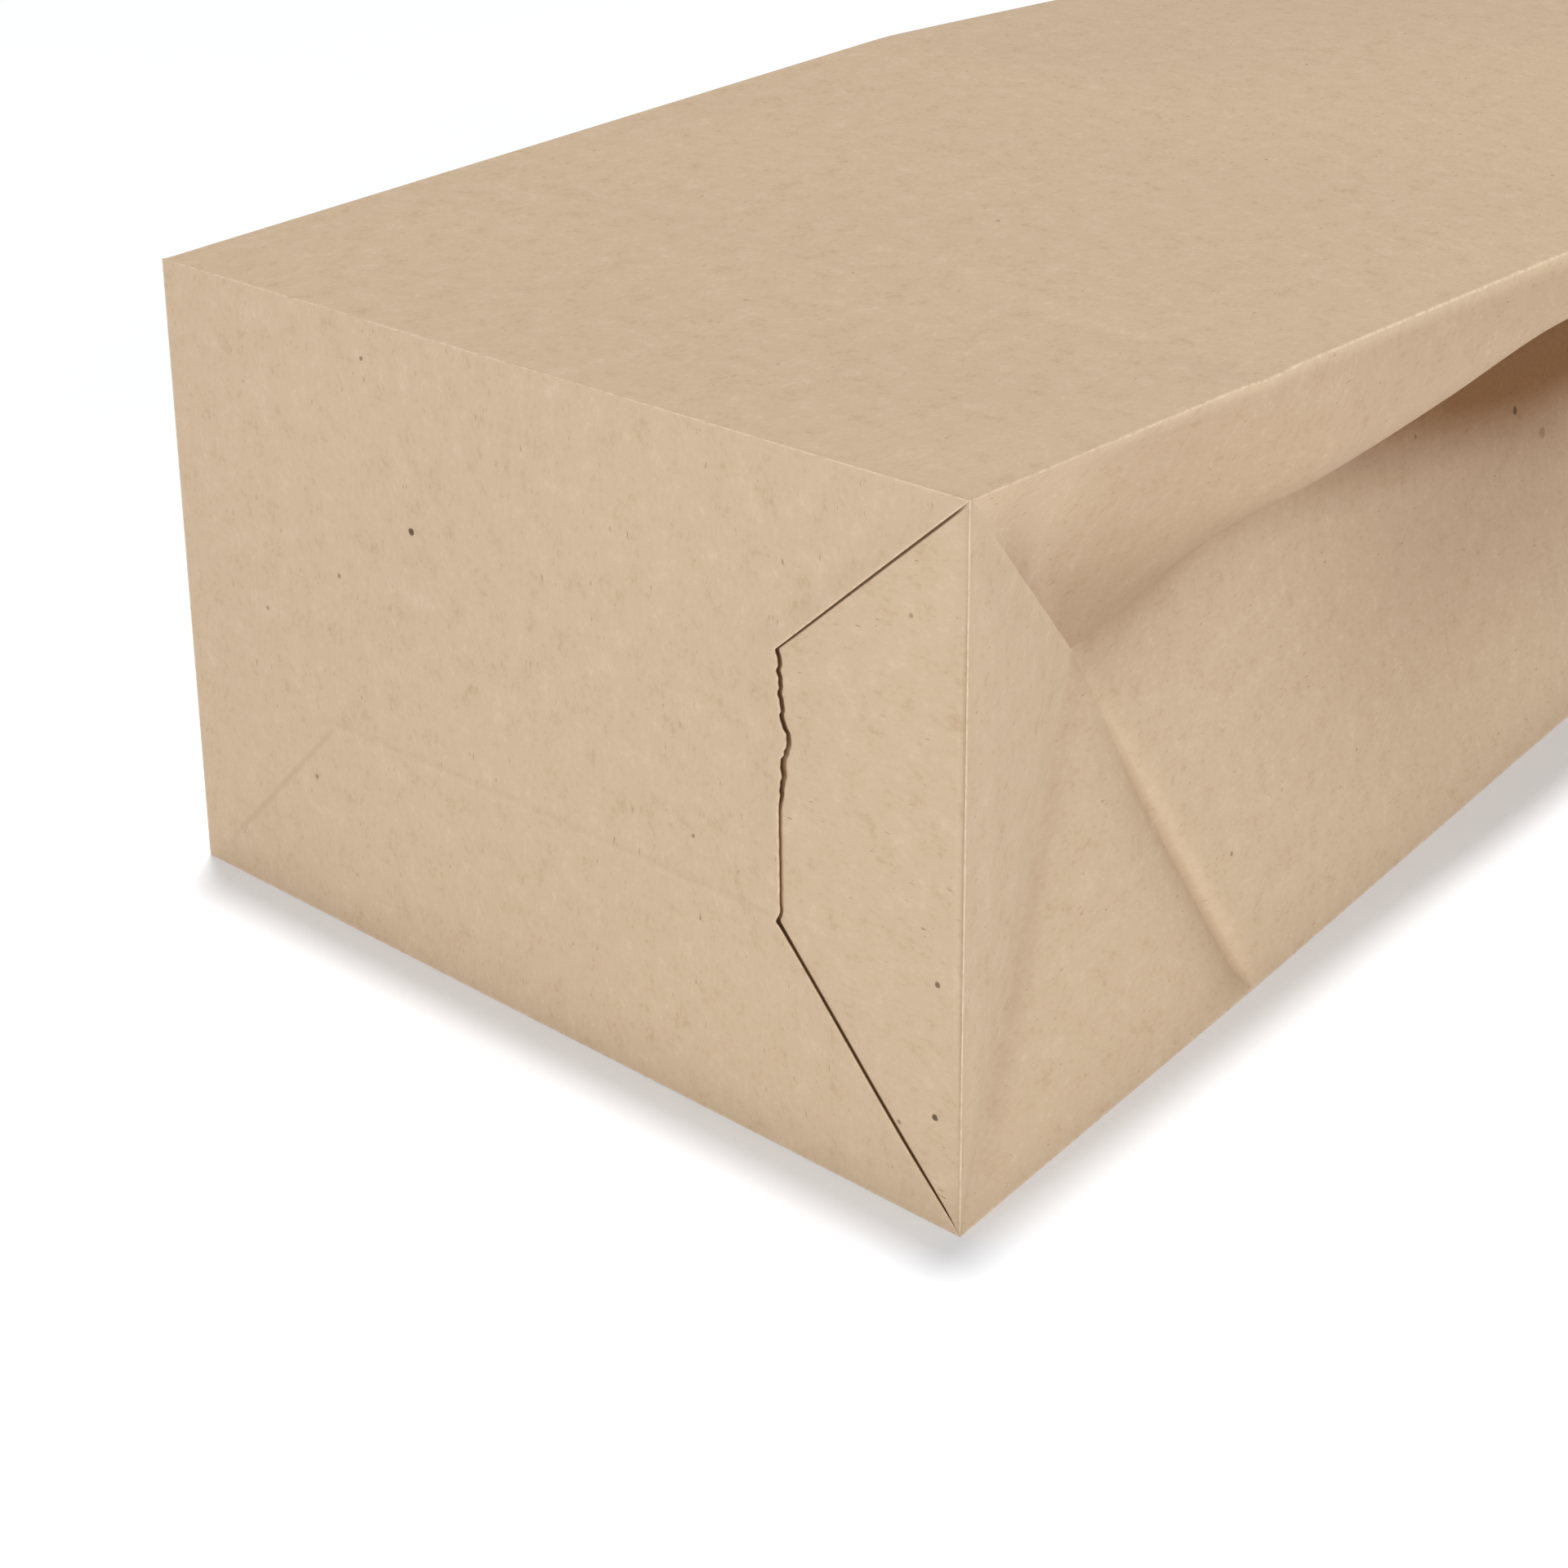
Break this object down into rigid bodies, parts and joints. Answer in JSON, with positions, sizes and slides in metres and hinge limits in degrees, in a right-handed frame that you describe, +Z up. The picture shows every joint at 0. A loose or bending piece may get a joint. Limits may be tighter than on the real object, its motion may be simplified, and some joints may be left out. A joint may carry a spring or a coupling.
{
  "type": "brown paper lunch bag",
  "caption": "Flat-bottomed kraft paper bag with pleated sides and an open mouth, lying on one wide panel.",
  "frame": {"origin": "under the middle of the bag, on the surface that it lies on", "axes": "+Y along the bag from its folded bottom to its mouth, +X across its width, +Z up through the depth of its side pleats"},
  "size_m": [0.1321, 0.278, 0.088],
  "materials": {
    "kraft_paper": "matt unbleached kraft paper with fine fibre mottling and a few dark specks"
  },
  "bodies": {
    "root": {"paper_bag": "kraft_paper"}
  },
  "joints": []
}
